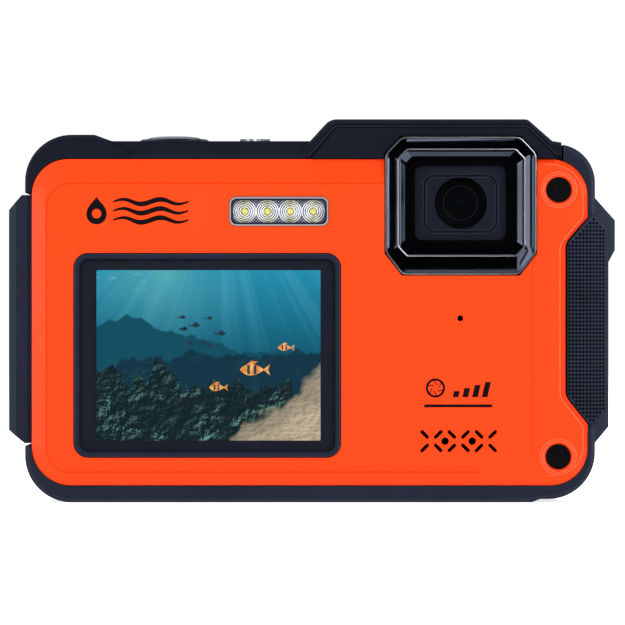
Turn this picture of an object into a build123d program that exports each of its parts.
from build123d import *
import math
import os

# Rugged waterproof camera with a lens, an LED light and a small screen on the front,
# and a large screen and keys on the back.
# Millimetres. X to the right across the front, Y towards the back, Z up.
# The origin is the middle of the footprint, on the surface that the camera stands on.

# ---- Body ---------------------------------------------------------------------------
BODY_LEFT = -52.0
BODY_RIGHT = 51.1
BODY_CORNER = 8.45
FOOT_RIGHT = 39.6
FOOT_STEP = 0.6
FOOT_SLOPE = 1.6
SHOULDER_TOP = 64.8
SHOULDER_CORNER = 7.0
SHOULDER_LEFT = 45.35
SHELL_TOP = 61.5
SHELL_CORNER = 6.0
RIM_Y = -9.4
WALL_Y = -8.2
CAVITY_Y = -6.6
PARTING_Y = 10.0
BACK_Y = 13.2
CAVITY = (-48.0, 48.5, 3.2, 58.9)
SEAL_OUTER = (-49.8, 50.3, 1.3, 60.7)
SEAL_CORNER = 6.5
SEAL_WIDTH = 1.0
SEAL_Y = 9.1
SNUG = 0.1

# ---- Side door ----------------------------------------------------------------------
DOOR_OUT = -55.0
DOOR_IN = -50.9
DOOR_WALL = -50.6
DOOR_LOW = 10.7
DOOR_HIGH = 55.6
DOOR_FRONT = -8.6
DOOR_STEP = (-51.35, 0.3)
DOOR_BAY = (10.2, 56.0)
HINGE_X = -53.2
HINGE_Y = 8.0
HINGE_R = 1.8
PIN_R = 0.75
EAR_R = 1.7
EARS = ((14.0, 18.0), (48.0, 52.0))
EAR_GAP = 0.2
MOUTH = (-6.2, 4.4, 18.6, 52.6)
DOOR_SEAL = (-7.4, 5.6, 17.4, 53.9)
LATCH_Y = (-5.5, -1.5)

# ---- Top cover ----------------------------------------------------------------------
COVER_LOW = 56.0
COVER_RIGHT = 45.05
COVER_CORNER_TOP = 66.5
DECK_TOP = 65.35
DECK_UNDER = 64.0
DECK_FRONT_Y = -8.6
COVER_FRONT_Y = -9.2
FACET_Y = -9.9
RIM_GROOVE_Y = -8.65
HUMP_TOP = 69.3
HUMP_ROOM_TOP = 67.7
COVER_BACK_Y = 9.9

# ---- Face plate ---------------------------------------------------------------------
PLATE = (-50.75, 49.75, 3.1, 62.05)
PLATE_RADII = (7.1, 6.7, 6.7, 6.5)
PLATE_EDGE_Y = -9.2
PANEL_Y = -10.5
SHELF_Y = -10.1
PANEL = (-48.1, 39.5, 5.5, 57.66)
PLATE_SCREWS = ((44.5, 56.5), (44.4, 8.3))
SCREW_WELL_R = 2.35
PLUG_RIDGE = 0.72
NOTCH_CORNER = 3.0
GROOVE = 0.2

# ---- Front screen, LED light, sound -------------------------------------------------
SCREEN_X = -19.0
SCREEN_Z = 26.6
SCREEN_FRAME = (48.2, 36.85, 2.6)
SCREEN_GLASS = (46.2, 34.8, 1.75)
SCREEN_PANEL = (43.5, 33.5)
LIGHT_X = -6.07
LIGHT_Z = 52.6
LIGHT_FRAME = (17.9, 5.24, 1.25)
LIGHT_LENS = (17.2, 4.54, 0.95)
LED_PITCH = 4.13
LED_COUNT = 4
SPEAKER_X = 26.4
SPEAKER_Z = 11.1
SPEAKER_PITCH = 2.456
SPEAKER_ROW = 1.22
SPEAKER_MARK = 7.2
MIC_X = 26.7
MIC_Z = 33.3

# ---- Lens ---------------------------------------------------------------------------
LENS_X = 26.8
LENS_Z = 54.15
BEZEL = (13.1, 40.5, 41.1, 66.15)
BEZEL_CUTS = ((3.1, 4.0), (3.0, 3.1))
CREST = (15.3, 38.4, 44.4, 63.9)
GLASS = (16.7, 36.9, 45.8, 62.5)
BEZEL_BASE_Y = -10.9
CREST_Y = -12.8
GLASS_Y = -11.7
PLATE_FRONT_Y = -9.95
PLATE_RIDGE = (19.9, 33.6, 48.55, 59.45)
BARREL_R = 5.6

# ---- Top buttons --------------------------------------------------------------------
BUTTON_Y = 1.0
SHUTTER_X = -25.2
SHUTTER_R = 4.85
SHUTTER_TOP = 66.5
POWER_X = -10.5
POWER_R = 2.75
POWER_TOP = 65.96
TOP_WELL = (-33.0, -6.0, -4.5, 6.5)
TOP_WELL_FLOOR = 60.0
SPRING_LOW = 60.62
FLANGE = (63.1, 63.9)

# ---- Grip side ----------------------------------------------------------------------
PAD_INNER_X = 46.05
PAD_CREASE_X = 50.5
PAD_OUTER_X = 53.2
RAIL_Y = (-5.4, 8.5)
RAIL_OUTER_X = 55.0
RAIL_SLANT_X = 51.3
RAIL_SLOPE = 0.6
RAIL_POCKET_Y = (-2.2, 4.8)
RAIL_POCKET_Z = (45.9, 50.9)
STRAP_PIN = (53.6, 1.3, 0.7)

# ---- Back ---------------------------------------------------------------------------
BACK_WALL_Y = 11.5
REAR_GLASS = (-20.5, 43.2, 7.2, 56.2)
REAR_GLASS_Y = (12.2, 13.1)
REAR_PANEL = (-18.2, 42.8, 8.0, 55.5)
REAR_WINDOW = (-16.6, 40.6, 10.3, 53.2)
NAV_X = -34.5
NAV_Z = 27.0
NAV_INNER = 3.4
NAV_OUTER = 8.2
OK_R = 3.0
KEY_R = 2.3
SMALL_KEYS = {"menu": (-40.5, 43.0), "play": (-28.5, 43.0), "delete": (-40.5, 11.5), "screen": (-28.5, 11.5)}
NAV_KEYS = {"right": 0, "up": 90, "left": 180, "down": 270}
KEY_TOP = 13.8
KEY_GAP = 0.15
KEY_FLANGE_Y = (10.9, 11.4)
ROCKER_X = -34.5
ROCKER_Z = 54.6
ROCKER = (16.0, 4.6)
REAR_SCREWS = ((-45.2, 6.6), (45.7, 6.6), (-45.2, 55.4), (45.7, 55.4))
SCREW_POST_R = 2.6
TRIPOD_R = 3.175
TRIPOD_Y = 1.0


# ---- Shape helpers ------------------------------------------------------------------
def face(points, radii=None):
    """Flat face through corner points; a radius of 0 leaves that corner sharp."""
    if radii is None:
        return make_face(Polyline(*points, close=True))
    return make_face(FilletPolyline(*points, radius=list(radii), close=True))


def rect(left, right, low, high, radius=0):
    """Rectangle between four limits, with equal round corners if asked."""
    width, height = right - left, high - low
    shape = RectangleRounded(width, height, radius) if radius else Rectangle(width, height)
    return Pos((left + right) / 2, (low + high) / 2) * shape


def centred(x, z, width, height, radius=0):
    """Rectangle about a centre."""
    return rect(x - width / 2, x + width / 2, z - height / 2, z + height / 2, radius)


def octagon(box, low_cut, high_cut, grow=0.0):
    """Octagon in a (left, right, low, high) box; each cut is (across, up)."""
    left, right, low, high = box[0] - grow, box[1] + grow, box[2] - grow, box[3] + grow
    lx, lz = low_cut
    hx, hz = high_cut
    return face([
        (left + lx, low), (right - lx, low), (right, low + lz), (right, high - hz),
        (right - hx, high), (left + hx, high), (left, high - hz), (left, low + lz),
    ])


def at_depth(sketch, y):
    """A front-view outline placed at depth y."""
    return Plane.XZ.offset(-y) * sketch


def slab(sketch, front, back):
    """Prism of a front-view outline between two depths."""
    return extrude(at_depth(sketch, back), back - front)


def taper(front_sketch, front, back_sketch, back):
    """Straight-sided solid from one front-view outline to another."""
    return loft([at_depth(back_sketch, back), at_depth(front_sketch, front)], ruled=True)


def column(sketch, low, high):
    """Prism of a plan outline (X, Y) between two heights."""
    return extrude(Plane.XY.offset(low) * sketch, high - low)


def bar(sketch, left, right):
    """Prism of a side outline (Y, Z) from left to right."""
    return extrude(Plane.YZ.offset(left) * sketch, right - left)


def block(left, right, front, back, low, high):
    """Box between six limits."""
    size = (right - left, back - front, high - low)
    return Pos(left, front, low) * Box(*size, align=(Align.MIN, Align.MIN, Align.MIN))


def disc(x, z, radius, front, back):
    """Cylinder along Y."""
    return slab(Pos(x, z) * Circle(radius), front, back)


def post(x, y, radius, low, high):
    """Cylinder along Z."""
    return column(Pos(x, y) * Circle(radius), low, high)


def turned(profile, x, z):
    """Solid of revolution about a front-to-back axis; the profile is (radius, depth) points."""
    return Pos(x, 0, z) * revolve(face(profile), Axis.Y)


def turned_up(profile, x, y):
    """Solid of revolution about an upright axis; the profile is (radius, height) points."""
    return Pos(x, y, 0) * revolve(Plane.XZ * face(profile), Axis.Z)


def ring_sector(inner, outer, middle_deg, gap):
    """Quarter of a ring about the origin, with half the gap taken off each straight side."""
    reach = outer * 2
    wedge = face([(gap * 0.7071, 0), (reach, reach - gap * 0.7071), (reach, -reach + gap * 0.7071)])
    return Rot(0, 0, middle_deg) * ((Circle(outer) - Circle(inner)) & wedge)


def edge_chamfer(solid, y, length, keep=lambda edge: True):
    """Chamfer the outer edge loop of the flat face at depth y."""
    flat = min(solid.faces().filter_by(Axis.Y), key=lambda f: (round(abs(f.center().Y - y), 3), -f.area))
    edges = [edge for edge in flat.outer_wire().edges() if keep(edge)]
    return chamfer(edges, length)


def below_shoulder(edge):
    """Leaves the hidden top line of the lower body sharp."""
    return edge.center().Z < SHOULDER_TOP - 0.01


def above_leg(edge):
    """Leaves the lower end of the top cover sharp."""
    return edge.center().Z > COVER_LOW + 0.01 and edge.center().X < COVER_RIGHT - 0.01


# ---- Outlines shared by several parts -----------------------------------------------
def lower_outline():
    """Body without the top cover: rounded corners, flat foot and the right shoulder."""
    points = [
        (BODY_LEFT, 0), (FOOT_RIGHT, 0), (FOOT_RIGHT + FOOT_SLOPE, FOOT_STEP),
        (BODY_RIGHT, FOOT_STEP), (BODY_RIGHT, SHOULDER_TOP), (BODY_LEFT, SHOULDER_TOP),
    ]
    return face(points, (BODY_CORNER, 0, 0, BODY_CORNER, SHOULDER_CORNER, 0))


def shell_region():
    """Where the main shell may be: below the cover, beside the door bay, or in the shoulder."""
    main = face(
        [(DOOR_WALL, 5), (60, 5), (60, SHELL_TOP), (DOOR_WALL, SHELL_TOP)],
        (0, 0, 0, SHELL_CORNER),
    )
    return rect(-60, 60, -5, DOOR_BAY[0]) + main + rect(SHOULDER_LEFT, 60, 55, 80)


def cover_outline():
    """Top cover from the front: raised left corner, deck, lens hump and the short right end."""
    points = [
        (BODY_LEFT, COVER_LOW), (COVER_RIGHT, COVER_LOW), (COVER_RIGHT, 65.1), (43.4, DECK_TOP),
        (38.9, HUMP_TOP), (3.17, HUMP_TOP), (-0.45, DECK_TOP), (-36.3, DECK_TOP),
        (-39.4, COVER_CORNER_TOP), (BODY_LEFT, COVER_CORNER_TOP),
    ]
    return face(points, (0, 0, 0, 0, 1.5, 2.8, 0, 2.0, 2.0, BODY_CORNER))


def plate_outline(grow=0.0):
    """Outer edge of the face plate, before the grip notch."""
    left, right, low, high = PLATE[0] - grow, PLATE[1] + grow, PLATE[2] - grow, PLATE[3] + grow
    radii = [radius + grow for radius in PLATE_RADII]
    return face([(left, low), (right, low), (right, high), (left, high)], radii)


def pad_outline(grow=0.0):
    """Grip pad from the front: six sides, pointed at the top and bottom."""
    points = [
        (PAD_INNER_X - grow, 19.0 - grow * 0.4), (PAD_CREASE_X, 13.6 - grow * 1.3),
        (PAD_OUTER_X + grow, 16.5 - grow), (PAD_OUTER_X + grow, 49.65 + grow),
        (PAD_CREASE_X, 52.1 + grow * 1.3), (PAD_INNER_X - grow, 46.9 + grow * 0.4),
    ]
    return face(points, (NOTCH_CORNER, 0, 0, 0, 0, NOTCH_CORNER))


def bezel_outline(grow=0.0):
    """Outer octagon of the lens bezel."""
    return octagon(BEZEL, *BEZEL_CUTS, grow)


def seal_loop(width, inset=0.0):
    """Front view of the housing seal, or of its groove."""
    left, right, low, high = SEAL_OUTER
    outer = rect(left + inset, right - inset, low + inset, high - inset, SEAL_CORNER - inset)
    inner_inset = inset + width
    inner = rect(left + inner_inset, right - inner_inset, low + inner_inset, high - inner_inset,
                 SEAL_CORNER - inner_inset)
    return outer - inner


# ---- Housing ------------------------------------------------------------------------
def main_shell():
    """Front and side walls in one moulding, open to the back, with bosses and door ears."""
    body = slab(lower_outline(), RIM_Y, PARTING_Y)
    body = edge_chamfer(body, RIM_Y, 0.7, below_shoulder)
    body &= slab(shell_region(), -20, 20)
    body += block(12.6, 40.0, WALL_Y, WALL_Y + 3.0, SHELL_TOP - 1, 66.0)
    body -= slab(plate_outline(SNUG), RIM_Y - 1, WALL_Y)
    body -= slab(pad_outline(SNUG), RIM_Y - 1, WALL_Y)
    body -= slab(rect(*CAVITY, 3.0), CAVITY_Y, PARTING_Y + 1)
    for x, z in REAR_SCREWS:
        body += disc(x, z, SCREW_POST_R, CAVITY_Y - 0.5, PARTING_Y)
        body -= disc(x, z, 1.02, 3.0, PARTING_Y + 1)
    for x, z in PLATE_SCREWS:
        body += disc(x, z, 2.4, CAVITY_Y - 0.5, -3.4)
        body -= disc(x, z, 1.02, WALL_Y - 1, -3.9)
    body += column(Pos(0, TRIPOD_Y) * Rectangle(12, 12), 2.0, 7.2)
    body -= post(0, TRIPOD_Y, 4.62, -1, 6.02)
    body -= slab(seal_loop(SEAL_WIDTH), SEAL_Y, PARTING_Y + 1)
    body -= block(-60, CAVITY[0] + 1, MOUTH[0], MOUTH[1], MOUTH[2], MOUTH[3])
    body -= front_wall_openings()
    body -= block(TOP_WELL[0], TOP_WELL[1], TOP_WELL[2], TOP_WELL[3], TOP_WELL_FLOOR, SHELL_TOP + 1)
    body -= block(-51.65, -50.8, LATCH_Y[0] - 0.2, LATCH_Y[1] + 0.2, 8.5, DOOR_BAY[0] + 1)
    for low, high in EARS:
        ear = Pos(HINGE_X, HINGE_Y) * Circle(EAR_R)
        arm = rect(HINGE_X, DOOR_WALL + 0.3, HINGE_Y - 1.5, HINGE_Y + 1.5)
        body += column(ear + arm, low, high)
    body -= post(HINGE_X, HINGE_Y, PIN_R + 0.01, 0, 60)
    return body


def front_wall_openings():
    """Cuts through or into the front wall for the screen, light, lens and sound parts."""
    width, height = SCREEN_PANEL
    cuts = slab(centred(SCREEN_X, SCREEN_Z, width + 0.2, height + 0.2), WALL_Y - 1, -7.05)
    cuts += slab(centred(SCREEN_X, 12.5, 15, 1.4), -8, CAVITY_Y + 1)
    cuts += slab(centred(LIGHT_X, LIGHT_Z, LIGHT_LENS[0], LIGHT_LENS[1]), WALL_Y - 1, -7.05)
    cuts += disc(LENS_X, LENS_Z, BARREL_R + 0.1, WALL_Y - 1, 1.2)
    cuts += disc(LENS_X, LENS_Z, BARREL_R + 0.6, CAVITY_Y, 1.2)
    cuts += slab(centred(SPEAKER_X, SPEAKER_Z, 14.2, 4.2, 1.0), WALL_Y - 1, CAVITY_Y + 1)
    cuts += disc(MIC_X, MIC_Z, 0.6, WALL_Y - 1, CAVITY_Y + 1)
    return cuts


def rear_cover():
    """Back moulding with the window, the key holes and a pocket for the keypad."""
    body = rear_blank()
    pocket = rect(*CAVITY, 3.0)
    for x, z in REAR_SCREWS:
        pocket -= Pos(x, z) * Circle(SCREW_POST_R)
    body -= slab(pocket, PARTING_Y - 1, BACK_WALL_Y)
    body -= slab(rect(*REAR_GLASS, 2.0), REAR_GLASS_Y[0], BACK_Y + 1)
    body -= slab(rect(*REAR_WINDOW, 0.6), BACK_WALL_Y - 1, BACK_Y)
    body -= disc(NAV_X, NAV_Z, NAV_OUTER + KEY_GAP, PARTING_Y, BACK_Y + 1)
    for x, z in SMALL_KEYS.values():
        body -= disc(x, z, KEY_R + KEY_GAP, PARTING_Y, BACK_Y + 1)
    slot = centred(ROCKER_X, ROCKER_Z, ROCKER[0] + 0.4, ROCKER[1] + 0.3, 2.4)
    body -= slab(slot, PARTING_Y, BACK_Y + 1)
    for x, z in REAR_SCREWS:
        body -= disc(x, z, 2.05, 12.2, BACK_Y + 1)
        body -= disc(x, z, 1.1, PARTING_Y - 1, BACK_Y)
    body -= slab(rect(-49.4, -45.8, 18.9, 49.1, 1.5), BACK_Y - 0.8, BACK_Y + 1)
    return body


def rear_blank():
    """The rear cover's silhouette, with its back edge bevelled."""
    lower = edge_chamfer(slab(lower_outline(), PARTING_Y, BACK_Y), BACK_Y, 1.0, below_shoulder)
    lower -= block(-60, SHOULDER_LEFT, 0, 20, 58, 80)
    upper = edge_chamfer(slab(cover_outline(), PARTING_Y, BACK_Y), BACK_Y, 1.0, above_leg)
    bridge_top = SHOULDER_TOP - 0.6
    bridge = slab(rect(COVER_RIGHT - 1, SHOULDER_LEFT + 0.5, 57, bridge_top), PARTING_Y, BACK_Y - 1.0)
    return lower + upper + bridge - block(-60, DOOR_WALL, 0, 20, *DOOR_BAY)


def top_cover():
    """Deck and lens hump, with a thin leg down the left side."""
    body = slab(cover_outline(), COVER_FRONT_Y, COVER_BACK_Y)
    body = edge_chamfer(body, COVER_FRONT_Y, 0.5, above_leg)
    body -= rim_groove()
    body += hump_facet()
    body -= deck_front_cut()
    inside = face(
        [(DOOR_WALL - SNUG, 40), (60, 40), (60, SHELL_TOP + SNUG), (DOOR_WALL - SNUG, SHELL_TOP + SNUG)],
        (0, 0, 0, SHELL_CORNER + SNUG),
    )
    body -= slab(inside, WALL_Y - SNUG, COVER_BACK_Y + 1)
    body -= slab(plate_outline(SNUG * 1.5), FACET_Y - 1, WALL_Y)
    body -= block(-44.0, -1.5, -7.2, 8.3, SHELL_TOP, DECK_UNDER)
    room = face([
        (0.5, SHELL_TOP), (43.0, SHELL_TOP), (43.0, 63.6), (38.4, HUMP_ROOM_TOP), (4.2, HUMP_ROOM_TOP),
    ])
    body -= slab(room, WALL_Y - SNUG, 8.3)
    body -= slab(bezel_outline(SNUG * 1.5), FACET_Y - 1, WALL_Y)
    body -= post(SHUTTER_X, BUTTON_Y, 5.6, DECK_UNDER - 1, DECK_TOP + 1)
    body -= post(POWER_X, BUTTON_Y, POWER_R + 0.15, DECK_UNDER - 1, DECK_TOP + 1)
    return body


def hump_outline():
    """Front of the lens hump, down to the face plate."""
    return face([
        (-3.4, 61.9), (48.0, 61.9), (45.05, 64.0), (43.4, DECK_TOP), (38.9, HUMP_TOP),
        (3.17, HUMP_TOP), (-0.45, DECK_TOP),
    ])


def facet_outline(inset):
    """Raised flat facet of the hump; the inset is measured from its rim line."""
    across = inset * 1.4
    return face([
        (-1.1 + across, 61.9), (44.6 - across, 61.9), (44.6 - across, 62.5),
        (38.9 - inset * 0.4, 68.1 - inset), (4.1 + inset * 0.4, 68.1 - inset),
    ])


def hump_facet():
    """The facet stands proud of the hump's rim, inside the rim's groove."""
    return taper(facet_outline(0.5), FACET_Y, facet_outline(0.4), RIM_GROOVE_Y)


def rim_groove():
    """Groove between the hump's rim and its facet, with a sloping outer side."""
    outer = taper(facet_outline(-0.25), COVER_FRONT_Y - 0.05, facet_outline(-0.05), RIM_GROOVE_Y)
    return outer - slab(facet_outline(0.3), COVER_FRONT_Y - 1, RIM_GROOVE_Y + 1)


def deck_front_cut():
    """Sets the deck's front wall back above a sloping strip, between a slanted left end and the hump."""
    profile = face([(-12, 62.5), (COVER_FRONT_Y, 62.5), (DECK_FRONT_Y, 63.1), (DECK_FRONT_Y, 72), (-12, 72)])
    left_end = face([(-60, 60), (-27.3, 60), (-45.8, 70), (-60, 70)])
    return bar(profile, -46, 20) - slab(hump_outline(), -13, -8) - slab(left_end, -13, -8)


def face_plate():
    """Bright front plate: a flat panel inside sloping bands, a lower shelf and the grip notch."""
    body = slab(plate_outline(), PLATE_EDGE_Y, WALL_Y)
    left, right, low, high = PLATE
    band_foot = face([(left, low), (40.2, low), (40.2, high), (left, high)], (7.1, 3.9, 1.0, 6.5))
    body += taper(panel_outline(0), PANEL_Y, band_foot, PLATE_EDGE_Y + 0.02)
    shelf_foot = face([(36.5, low), (right, low), (right, high), (36.5, high)], (0, 6.7, 6.7, 0))
    shelf_top = face(
        [(36.5, low + 1.66), (right - 0.8, low + 1.66), (right - 0.8, high - 0.8), (36.5, high - 0.8)],
        (0, 5.4, 5.9, 0),
    )
    body += taper(shelf_top, SHELF_Y, shelf_foot, PLATE_EDGE_Y + 0.02)
    body -= panel_groove()
    for x, z in PLATE_SCREWS:
        rim = [(0, -9.0), (3.5, -9.0), (3.5, SHELF_Y), (3.2, -10.4), (2.85, -10.4), (0, -10.4)]
        body += turned(rim, x, z)
        body -= turned([(0, -11), (2.9, -11), (2.75, -10.35), (SCREW_WELL_R, -10.1), (SCREW_WELL_R, -9.0),
                        (1.1, -9.0), (1.1, -8.0), (0, -8.0)], x, z)
    for notch, back in ((((53, 56.4), (44.8, 46.8), (44.8, 19.0), (53, 8.7)), PLATE_EDGE_Y),
                        (((53, 55.3), (45.7, 47.0), (45.7, 19.2), (53, 10.05)), WALL_Y + 0.2)):
        body -= slab(face(notch, (0, NOTCH_CORNER, NOTCH_CORNER, 0)), -12, back)
    body -= slab(centred(SCREEN_X, SCREEN_Z, SCREEN_FRAME[0] + 0.2, SCREEN_FRAME[1] + 0.2, 2.7), -12, -8)
    body -= slab(centred(LIGHT_X, LIGHT_Z, LIGHT_FRAME[0] + 0.2, LIGHT_FRAME[1] + 0.2, 1.35), -12, -8)
    body -= slab(bezel_outline(SNUG), -12, -8)
    body -= disc(MIC_X, MIC_Z, 0.55, -12, -8)
    return body - speaker_grille()


def panel_outline(grow):
    """Edge of the flat panel inside the sloping bands."""
    left, right, low, high = PANEL[0] - grow, PANEL[1] + grow, PANEL[2] - grow, PANEL[3] + grow
    radii = [radius + grow for radius in (4.2, 3.6, 0.8, 4.4)]
    return face([(left, low), (right, low), (right, high), (left, high)], radii)


def panel_groove():
    """Fine V groove that separates the flat panel from the bands."""
    top, bottom = PANEL_Y - 0.05, PANEL_Y + GROOVE
    outer = taper(panel_outline(GROOVE), top, panel_outline(0.02), bottom)
    inner = taper(panel_outline(-GROOVE), top, panel_outline(-0.02), bottom)
    return (outer - inner) - block(30, 60, -12, -8, 0, 70)


def speaker_grille():
    """Slanted slots in two rows of six, with two round holes between them and a ring mark at each end."""
    cuts = []
    for column_index in range(6):
        x = SPEAKER_X + (column_index - 2.5) * SPEAKER_PITCH
        lean = 45 if column_index % 2 else -45
        for row in (1, -1):
            shape = Pos(x, SPEAKER_Z + row * SPEAKER_ROW) * Rot(0, 0, lean * row) * SlotOverall(2.0, 0.65)
            cuts.append(slab(shape, -12, -8))
    for side in (-1, 1):
        cuts.append(disc(SPEAKER_X + side * SPEAKER_PITCH, SPEAKER_Z, 0.68, -12, -8))
        mark_x = SPEAKER_X + side * SPEAKER_MARK
        mark = Pos(mark_x, SPEAKER_Z) * (Circle(0.38) - Circle(0.24))
        cuts.append(slab(mark, -12, PANEL_Y + 0.08))
    return Part() + cuts


def housing_seal():
    """Rubber loop between the main shell and the rear cover."""
    return slab(seal_loop(SEAL_WIDTH - 0.1, 0.05), SEAL_Y + 0.02, PARTING_Y)


# ---- Lens ---------------------------------------------------------------------------
def lens_bezel():
    """Polished octagonal bezel: upright foot, long slope to the crest, bevel down to the glass."""
    body = slab(bezel_outline(), WALL_Y, BEZEL_BASE_Y + 0.15)
    body += taper(bezel_outline(-0.15), BEZEL_BASE_Y, bezel_outline(), BEZEL_BASE_Y + 0.15)
    crest = octagon(CREST, (1.7, 1.8), (1.7, 1.8))
    crest_in = octagon(CREST, (1.6, 1.7), (1.6, 1.7), -0.28)
    glass = octagon(GLASS, (1.25, 1.3), (1.25, 1.3))
    body += taper(crest, CREST_Y, bezel_outline(-0.4), BEZEL_BASE_Y)
    body -= taper(crest_in, CREST_Y - 0.01, glass, GLASS_Y)
    body -= slab(glass, GLASS_Y - 0.01, -10.9)
    body -= slab(octagon(GLASS, (1.0, 1.0), (1.0, 1.0), -0.7), -11, -8)
    return body


def lens_window():
    """Flat glass that seals the lens well."""
    return slab(octagon(GLASS, (1.25, 1.3), (1.25, 1.3), -0.05), GLASS_Y, -10.9)


def lens_plate():
    """Dark textured plate behind the glass, with an octagonal groove between two ridges and the lens hole."""
    body = slab(octagon(GLASS, (1.0, 1.0), (1.0, 1.0), -0.8), PLATE_FRONT_Y, -8.5)
    for inset, width in ((0.0, 0.22), (0.52, 0.22)):
        body += slab(plate_ring(inset, width), PLATE_FRONT_Y - 0.15, PLATE_FRONT_Y)
    body -= slab(plate_ring(0.22, 0.30), PLATE_FRONT_Y - 1, PLATE_FRONT_Y + 0.3)
    return body - disc(LENS_X, LENS_Z, 4.74, -11, -8)


def plate_ring(inset, width):
    """Octagonal ring on the lens plate, measured inwards from its outer ridge."""
    cut = (1.35, 1.35)
    return octagon(PLATE_RIDGE, cut, cut, -inset) - octagon(PLATE_RIDGE, cut, cut, -inset - width)


def lens_barrel():
    """Stepped barrel with baffle rings at the front and a square seat for the sensor."""
    profile = [
        (4.45, -8.4), (BARREL_R, -8.4), (BARREL_R, -5.0), (4.6, -5.0), (4.6, 1.0), (3.4, 1.0),
        (3.4, -6.8), (1.0, -6.8), (1.0, -7.0),
    ]
    for radius, depth in ((2.15, -7.1), (2.9, -7.35), (3.3, -7.6), (3.9, -7.8), (4.45, -8.0)):
        profile += [(radius - 0.15, depth), (radius - 0.15, depth - 0.12), (radius, depth - 0.12)]
    seat = slab(centred(LENS_X, LENS_Z, 9.4, 9.4, 0.5), 1.0, 3.0)
    seat -= slab(centred(LENS_X, LENS_Z, 8.4, 8.4), 2.0, 4.0)
    seat -= disc(LENS_X, LENS_Z, 3.4, 0, 4)
    return turned(profile, LENS_X, LENS_Z) + seat


def lens_elements():
    """Three lenses and the filter, each a separate disc in the barrel."""
    front = turned([(0, -6.75), (1.2, -6.6), (3.3, -6.0), (3.35, -5.3), (0, -5.3)], LENS_X, LENS_Z)
    middle = turned([(0, -4.6), (3.35, -4.0), (3.35, -3.2), (0, -3.4)], LENS_X, LENS_Z)
    rear = turned([(0, -2.0), (3.35, -1.6), (3.35, -0.7), (0, -0.3)], LENS_X, LENS_Z)
    pane = disc(LENS_X, LENS_Z, 3.3, 0.3, 0.6)
    return Compound([front.solid(), middle.solid(), rear.solid(), pane.solid()])


def image_sensor():
    """Sensor package, seated in the barrel's square end."""
    body = slab(centred(LENS_X, LENS_Z, 8.2, 8.2, 0.3), 2.2, 3.0)
    return body - slab(centred(LENS_X, LENS_Z, 6.4, 4.9, 0.2), 2.0, 2.35)


def sensor_board():
    """Small board behind the sensor with its connector."""
    board = slab(rect(19.0, 34.6, 43.5, 58.6, 0.6), 3.0, 3.8)
    return board + slab(rect(22.0, 31.0, 44.3, 46.3), 3.8, 4.8)


# ---- Front screen and light ---------------------------------------------------------
def front_screen_frame():
    """Raised frame round the front screen, with a ledge that carries the glass."""
    x, z = SCREEN_X, SCREEN_Z
    width, height, radius = SCREEN_FRAME
    body = slab(centred(x, z, width, height, radius), -10.6, -8.3)
    body += taper(centred(x, z, width - 0.6, height - 0.6, radius - 0.3), -10.9,
                  centred(x, z, width, height, radius), -10.6)
    glass_width, glass_height, glass_radius = SCREEN_GLASS
    body -= slab(centred(x, z, glass_width + 0.2, glass_height + 0.2, glass_radius + 0.1), -12, -9.7)
    return body - slab(centred(x, z, SCREEN_PANEL[0] + 0.3, SCREEN_PANEL[1] + 0.3, 0.4), -12, -8)


def front_screen_glass():
    """Cover glass of the front screen."""
    return slab(centred(SCREEN_X, SCREEN_Z, *SCREEN_GLASS), -10.6, -9.7)


def front_screen_panel():
    """Display module of the front screen."""
    return slab(centred(SCREEN_X, SCREEN_Z, *SCREEN_PANEL, 0.3), -9.6, -7.1)


def light_frame():
    """Thin frame round the LED light."""
    body = slab(centred(LIGHT_X, LIGHT_Z, *LIGHT_FRAME), -10.8, -8.3)
    return body - slab(centred(LIGHT_X, LIGHT_Z, LIGHT_LENS[0] + 0.1, LIGHT_LENS[1] + 0.1, 1.0), -12, -8)


def light_lens():
    """Clear window over the four LEDs."""
    return slab(centred(LIGHT_X, LIGHT_Z, *LIGHT_LENS), -10.6, -9.6)


def led_positions():
    """X of each LED in the row."""
    return [LIGHT_X + (index - (LED_COUNT - 1) / 2) * LED_PITCH for index in range(LED_COUNT)]


def light_reflector():
    """Bright block with one cone for each LED."""
    body = slab(centred(LIGHT_X, LIGHT_Z, LIGHT_LENS[0] - 0.2, LIGHT_LENS[1] - 0.2, 0.8), -9.5, -8.3)
    for x in led_positions():
        body -= turned([(0, -9.6), (2.0, -9.6), (2.0, -9.45), (1.2, -8.2), (0, -8.2)], x, LIGHT_Z)
    return body


def light_leds():
    """LED strip: a narrow board with four packages and their domes."""
    body = slab(centred(LIGHT_X, LIGHT_Z, LIGHT_LENS[0] - 0.4, 3.9, 0.3), -7.9, -7.1)
    for x in led_positions():
        body += slab(centred(x, LIGHT_Z, 1.6, 1.6, 0.15), -8.3, -7.9)
        body += turned([(0, -8.6), (0.45, -8.5), (0.62, -8.3), (0, -8.3)], x, LIGHT_Z)
    return body


def microphone():
    """Microphone can behind its hole."""
    return disc(MIC_X, MIC_Z, 2.0, CAVITY_Y, -5.1) - disc(MIC_X, MIC_Z, 0.4, CAVITY_Y - 1, -6.0)


def speaker():
    """Speaker module behind the grille."""
    body = slab(centred(SPEAKER_X, SPEAKER_Z, 18.0, 10.0, 1.5), CAVITY_Y, -3.2)
    return body - slab(centred(SPEAKER_X, SPEAKER_Z, 13.0, 3.6, 1.5), CAVITY_Y - 1, -6.0)


def face_screws():
    """Two pan-head screws that hold the face plate."""
    profile = [(0, -9.65), (1.3, -9.65), (1.9, -9.4), (1.9, -9.0), (1.0, -9.0), (1.0, -4.0), (0, -4.0)]
    return Compound([turned(profile, x, z).solid() for x, z in PLATE_SCREWS])


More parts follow.
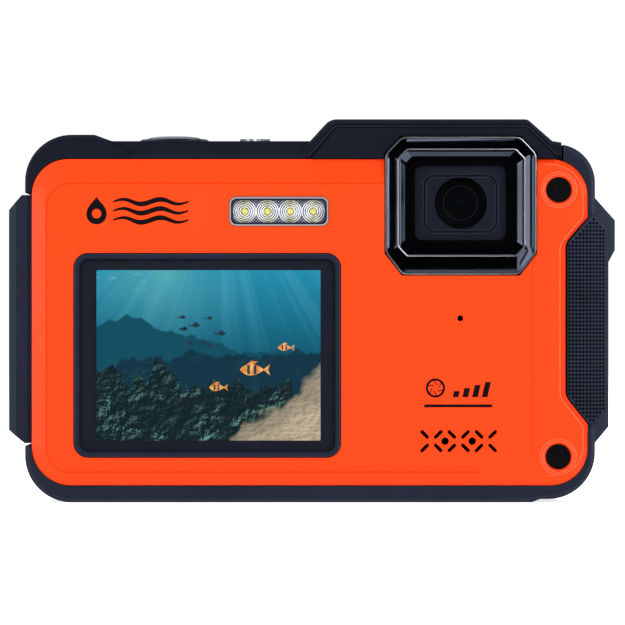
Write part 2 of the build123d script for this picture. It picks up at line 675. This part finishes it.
def screw_plugs():
    """Plugs over the face plate's screws, each with two pairs of crossed ridges."""
    plugs = []
    for x, z in PLATE_SCREWS:
        ridges = Part()
        for offset in (-PLUG_RIDGE, PLUG_RIDGE):
            ridges += block(x + offset - 0.08, x + offset + 0.08, -10.12, -9.9, z - 2, z + 2)
            ridges += block(x - 2, x + 2, -10.12, -9.9, z + offset - 0.08, z + offset + 0.08)
        body = disc(x, z, 2.22, -10.0, -9.7) + (ridges & disc(x, z, 2.1, -11, -9))
        plugs.append(body.solid())
    return Compound(plugs)


def rear_screws():
    """Four cross-head screws that hold the rear cover."""
    profile = [(0, 4.0), (1.0, 4.0), (1.0, 12.2), (1.9, 12.2), (1.9, 12.75), (1.3, 13.05), (0, 13.05)]
    screws = []
    for x, z in REAR_SCREWS:
        body = turned(profile, x, z)
        body -= block(x - 1.0, x + 1.0, 12.5, 14, z - 0.2, z + 0.2)
        body -= block(x - 0.2, x + 0.2, 12.5, 14, z - 1.0, z + 1.0)
        screws.append(body.solid())
    return Compound(screws)


# ---- Grip side ----------------------------------------------------------------------
def grip_pad():
    """Rubber pad that wraps the front right edge; its crease runs between the two points."""
    plan = face([
        (PAD_INNER_X, WALL_Y), (PAD_INNER_X, -9.55), (PAD_CREASE_X, -9.75), (PAD_OUTER_X, -6.9),
        (PAD_OUTER_X, rail_front(PAD_OUTER_X) - SNUG), (RAIL_SLANT_X, rail_front(RAIL_SLANT_X) - SNUG),
        (BODY_RIGHT + 0.02, RAIL_Y[0] - SNUG), (BODY_RIGHT + 0.02, WALL_Y),
    ])
    return column(plan, 12, 54) & slab(pad_outline(), -12, 0)


def rail_front(x):
    """Depth of the rail's front, which slants back towards the outside."""
    return RAIL_Y[0] + (x - RAIL_SLANT_X) * RAIL_SLOPE


def side_rail():
    """Right-hand rail with a slanted front and the pocket of the lanyard lug."""
    front, back = RAIL_Y
    profile = face([
        (BODY_RIGHT, 10.5), (53.8, 13.6), (53.8, 43.5), (RAIL_OUTER_X, 45.7), (RAIL_OUTER_X, 51.1),
        (BODY_RIGHT, 55.3),
    ])
    reach = RAIL_OUTER_X + 1
    plan = face([
        (BODY_RIGHT - 1, front), (RAIL_SLANT_X, front), (reach, rail_front(reach)), (reach, back - 2.2),
        (53.4, back), (BODY_RIGHT - 1, back),
    ])
    body = slab(profile, front, back) & column(plan, 0, 70)
    body -= block(BODY_RIGHT + 0.3, 60, *RAIL_POCKET_Y, *RAIL_POCKET_Z)
    x, y, radius = STRAP_PIN
    return body - post(x, y, radius + 0.01, RAIL_POCKET_Z[0] - 0.7, RAIL_POCKET_Z[1] + 0.7)


def strap_pin():
    """Steel pin across the lanyard pocket."""
    x, y, radius = STRAP_PIN
    return post(x, y, radius, RAIL_POCKET_Z[0] - 0.68, RAIL_POCKET_Z[1] + 0.68)


# ---- Electronics --------------------------------------------------------------------
def main_board():
    """Main board with its processor, memory, shield can and connectors."""
    board = slab(rect(-28.0, 42.8, 9.4, 52.6, 1.0), 6.6, 7.4)
    board += slab(rect(2.0, 15.0, 24.0, 37.0), 5.4, 6.6)
    board += slab(rect(-14.0, -5.0, 22.0, 34.0), 5.6, 6.6)
    board += slab(rect(20.0, 38.0, 14.0, 30.0, 0.8), 4.8, 6.6)
    board += slab(rect(-26.0, -18.0, 40.0, 43.0), 5.2, 6.6)
    return board


def battery():
    """Removable lithium cell pack."""
    body = block(-48.6, -9.1, -5.7, 0.1, 19.7, 51.5)
    body = fillet(body.edges().filter_by(Axis.X), 1.0)
    for z in (24.0, 28.0, 32.0):
        body -= block(-10.0, -9.0, -3.6, -1.8, z, z + 2.2)
    return body


def battery_bay():
    """Sleeve that guides the battery, closed at its inner end."""
    body = block(-47.8, -8.0, -6.3, 0.7, 18.8, 52.4)
    return body - block(-49, -8.6, -5.8, 0.2, 19.5, 51.7)


def io_board():
    """Board behind the side door that carries the card and cable sockets."""
    return slab(rect(-47.8, -30.0, 19.0, 51.8, 0.6), 4.5, 5.3)


def usb_socket():
    """Cable socket: a rounded metal tube with its tongue, open towards the door."""
    y, z = 2.87, 24.0
    outer = Pos(y, z) * SlotOverall(8.94, 3.2, 90)
    inner = Pos(y, z) * SlotOverall(8.3, 2.6, 90)
    body = bar(outer, -47.9, -40.6) - bar(inner, -49, -41.2)
    return body + block(-47.0, -41.0, y - 0.35, y + 0.35, z - 3.2, z + 3.2)


def card_socket():
    """Spring-loaded socket of the memory card."""
    body = block(-47.8, -31.8, 2.6, 4.5, 36.0, 51.0)
    return body - block(-49, -32.5, 3.0, 4.2, 37.9, 49.1)


def memory_card():
    """Memory card with its cut corner."""
    profile = face([(-48.6, 38.0), (-33.6, 38.0), (-33.6, 47.3), (-35.3, 49.0), (-48.6, 49.0)])
    return slab(profile, 3.1, 4.1)


def top_board():
    """Board under the top buttons with their two switches."""
    body = column(rect(-32.5, -6.5, -4.0, 6.0, 0.5), TOP_WELL_FLOOR, TOP_WELL_FLOOR + 0.6)
    for x, radius in ((SHUTTER_X, 1.7), (POWER_X, 1.2)):
        body += post(x, BUTTON_Y, radius, TOP_WELL_FLOOR + 0.5, TOP_WELL_FLOOR + 1.0)
    return body


def key_centres():
    """Centre of every rear switch."""
    centres = [(NAV_X, NAV_Z), (ROCKER_X - 5.5, ROCKER_Z), (ROCKER_X + 5.5, ROCKER_Z)]
    centres += list(SMALL_KEYS.values())
    for angle in NAV_KEYS.values():
        turn = math.radians(angle)
        centres.append((NAV_X + 5.8 * math.cos(turn), NAV_Z + 5.8 * math.sin(turn)))
    return centres


def keypad_board():
    """Board that carries the rear switches."""
    return slab(rect(-42.3, -21.5, 9.0, 57.4, 1.0), 9.0, 9.6)


def keypad_mat():
    """Rubber mat with one raised dome under each key."""
    body = slab(rect(-42.3, -21.5, 9.0, 57.4, 1.0), 9.65, 10.05)
    for x, z in key_centres():
        body += turned([(0, 10.0), (1.5, 10.0), (1.1, 10.4), (0, 10.4)], x, z)
    return body


def tripod_bush():
    """Brass insert for a tripod screw, knurled by three grooves."""
    profile = [(TRIPOD_R, 0.0), (4.6, 0.0), (4.6, 1.4)]
    for low in (1.4, 2.8, 4.2):
        profile += [(4.2, low), (4.2, low + 0.4), (4.6, low + 0.4), (4.6, low + 1.4)]
    profile[-1] = (4.6, 6.0)
    profile += [(0, 6.0), (0, 5.2), (TRIPOD_R, 5.2)]
    return turned_up(profile, 0, TRIPOD_Y)


# ---- Back ---------------------------------------------------------------------------
def rear_screen_glass():
    """Cover glass of the rear screen."""
    left, right, low, high = REAR_GLASS
    outline = rect(left + 0.1, right - 0.1, low + 0.1, high - 0.1, 1.9)
    return slab(outline, *REAR_GLASS_Y)


def rear_screen_panel():
    """Display module of the rear screen."""
    return slab(rect(*REAR_PANEL, 0.5), 8.4, 11.45)


def thumb_rest():
    """Rubber strip with ribs for the thumb."""
    body = slab(rect(-49.3, -45.9, 19.0, 49.0, 1.4), BACK_Y - 0.8, BACK_Y + 0.3)
    for index in range(9):
        z = 22.0 + index * 3.0
        body += slab(centred(-47.6, z, 2.4, 1.2, 0.5), BACK_Y + 0.2, 14.0)
    return body


# ---- Top buttons --------------------------------------------------------------------
def shutter_collar():
    """Ring pressed into the deck round the shutter button."""
    profile = [
        (5.05, DECK_UNDER), (5.55, DECK_UNDER), (5.55, DECK_TOP), (6.4, DECK_TOP), (6.3, 65.75),
        (5.9, 65.95), (5.05, 65.95),
    ]
    return turned_up(profile, SHUTTER_X, BUTTON_Y)


def shutter_button():
    """Domed cap with a retaining flange and a stem over the switch."""
    low, high = FLANGE
    profile = [
        (0, 61.7), (1.3, 61.7), (1.3, low), (5.35, low), (5.35, high), (SHUTTER_R, high),
        (SHUTTER_R, 66.0), (4.4, 66.25), (3.0, 66.42), (0, SHUTTER_TOP),
    ]
    return turned_up(profile, SHUTTER_X, BUTTON_Y)


def power_button():
    """Small round button with a notched rim."""
    low, high = FLANGE
    profile = [
        (0, 61.5), (1.0, 61.5), (1.0, low), (3.3, low), (3.3, high), (POWER_R, high),
        (POWER_R, POWER_TOP), (2.05, POWER_TOP), (1.95, 65.6), (0, 65.6),
    ]
    body = turned_up(profile, POWER_X, BUTTON_Y)
    for index in range(8):
        notch = Pos(POWER_X, BUTTON_Y, 0) * Rot(0, 0, index * 45) * block(1.9, 3.2, -0.3, 0.3, 65.6, 67)
        body -= notch
    return body


def coil_spring(x, radius, wire, turns):
    """Compression spring from the board up to a button's flange."""
    height = FLANGE[0] - SPRING_LOW - 2 * wire - 0.06
    path = Pos(x, BUTTON_Y, SPRING_LOW + wire + 0.03) * Helix(height / turns, height, radius)
    section = Plane(path @ 0, z_dir=path % 0) * Circle(wire)
    return sweep(section, path)


# ---- Side door ----------------------------------------------------------------------
def door_outline():
    """Side door from the front, with its two slanted corners."""
    return face([
        (-49, DOOR_LOW), (-52.1, DOOR_LOW), (DOOR_OUT, 13.05), (DOOR_OUT, 52.9), (-52.6, DOOR_HIGH),
        (-49, DOOR_HIGH),
    ])


def side_door():
    """Door over the battery and the sockets, with a stepped front edge, hinge barrel and latch track."""
    step_x, step = DOOR_STEP
    plan = face([
        (DOOR_IN, DOOR_FRONT + step), (step_x, DOOR_FRONT + step), (step_x - 0.2, DOOR_FRONT),
        (-53.6, DOOR_FRONT), (DOOR_OUT, DOOR_FRONT + 1.4), (DOOR_OUT, HINGE_Y), (DOOR_IN, HINGE_Y),
    ])
    plan += Pos(HINGE_X, HINGE_Y) * Circle(HINGE_R)
    body = column(plan, 9, 57) & slab(door_outline(), -20, 20)
    for low, high in EARS:
        body -= block(-56, -50, 5.8, 12, low - EAR_GAP, high + EAR_GAP)
    body -= post(HINGE_X, HINGE_Y, PIN_R + 0.05, 5, 60)
    body -= bar(door_seal_loop(1.1, 0.0), -51.2, DOOR_IN + 0.5)
    low_y, high_y = LATCH_Y
    body -= block(-56, -53.9, low_y - 0.1, high_y + 0.1, 13.3, 23.2)
    body -= block(-54.4, -50, -4.6, -2.4, 13.3, 16.95)
    body -= block(-51.65, -50, low_y - 0.1, high_y + 0.1, 9, 16.95)
    return body


def door_seal_loop(width, inset):
    """Side view (Y, Z) of the door's seal, or of its groove."""
    front, back, low, high = DOOR_SEAL
    outer = rect(front + inset, back - inset, low + inset, high - inset, 2.5)
    reach = inset + width
    return outer - rect(front + reach, back - reach, low + reach, high - reach, 1.5)


def door_seal():
    """Rubber loop that closes the door against the shell."""
    return bar(door_seal_loop(1.0, 0.05), -51.2, -50.65)


def door_latch():
    """Slider with a ribbed knob outside and a bolt plate inside the door."""
    low_y, high_y = LATCH_Y
    body = block(-54.6, -54.0, low_y, high_y, 15.4, 22.9)
    for index in range(5):
        z = 16.6 + index * 1.25
        body += block(-54.95, -54.5, low_y + 0.4, high_y - 0.4, z, z + 0.6)
    body += block(-54.1, -51.2, -4.5, -2.5, 15.4, 16.85)
    return body + block(-51.55, -50.95, low_y, high_y, 10.85, 16.85)


# ---- Rear keys ----------------------------------------------------------------------
def nav_key(angle):
    """One quarter of the navigation ring, retained by its outer flange."""
    cap = ring_sector(NAV_INNER, NAV_OUTER, angle, 0.5)
    crown = ring_sector(NAV_INNER + 0.3, NAV_OUTER - 0.3, angle, 1.0)
    flange = ring_sector(NAV_INNER, NAV_OUTER + 0.7, angle, 0.5)
    spot = Pos(NAV_X, NAV_Z)
    body = slab(spot * flange, *KEY_FLANGE_Y)
    body += slab(spot * cap, KEY_FLANGE_Y[0], KEY_TOP - 0.3)
    return body + slab(spot * crown, KEY_TOP - 0.35, KEY_TOP)


def round_key(x, z, radius, flange):
    """Round key with a bevelled edge; a flange keeps it behind the cover."""
    front, back = KEY_FLANGE_Y
    foot = [(0, front), (radius + flange, front), (radius + flange, back), (radius, back)]
    if not flange:
        foot = [(0, front), (radius, front)]
    return turned(foot + [(radius, KEY_TOP - 0.3), (radius - 0.3, KEY_TOP), (0, KEY_TOP)], x, z)


def zoom_rocker():
    """Rocker with two raised ends; it tips about an upright axis."""
    width, height = ROCKER
    body = slab(centred(ROCKER_X, ROCKER_Z, width, height, 2.2), 11.0, 13.6)
    for side in (-1, 1):
        body += slab(centred(ROCKER_X + side * 5.2, ROCKER_Z, 4.4, 3.4, 1.2), 13.5, 13.9)
    return body + slab(centred(ROCKER_X, ROCKER_Z, 4.0, height + 1.4), 11.0, 11.3)


# ---- Build --------------------------------------------------------------------------
def build():
    """Every node of the camera by name."""
    made = {}
    for maker in (
        main_shell, rear_cover, top_cover, face_plate, housing_seal, lens_bezel, lens_window, lens_plate,
        lens_barrel, lens_elements, image_sensor, sensor_board, front_screen_frame, front_screen_glass,
        front_screen_panel, light_frame, light_lens, light_reflector, light_leds, microphone, speaker,
        face_screws, screw_plugs, rear_screws, grip_pad, side_rail, strap_pin, main_board, battery,
        battery_bay, io_board, usb_socket, card_socket, memory_card, top_board, keypad_board, keypad_mat,
        tripod_bush, rear_screen_glass, rear_screen_panel, thumb_rest, shutter_collar, shutter_button,
        power_button, side_door, door_seal, door_latch, zoom_rocker,
    ):
        made[maker.__name__] = maker()
    made["hinge_pin"] = post(HINGE_X, HINGE_Y, PIN_R, 12.3, 53.8)
    made["shutter_spring"] = coil_spring(SHUTTER_X, 3.2, 0.2, 4)
    made["power_spring"] = coil_spring(POWER_X, 2.2, 0.15, 4)
    for name, angle in NAV_KEYS.items():
        made[f"key_{name}"] = nav_key(angle)
    made["key_ok"] = round_key(NAV_X, NAV_Z, OK_R, 0)
    for name, (x, z) in SMALL_KEYS.items():
        made[f"key_{name}"] = round_key(x, z, KEY_R, 0.6)
    return made


if __name__ == "__main__":
    os.makedirs("parts", exist_ok=True)
    for node, shape in build().items():
        export_step(shape, f"parts/{node}.step")
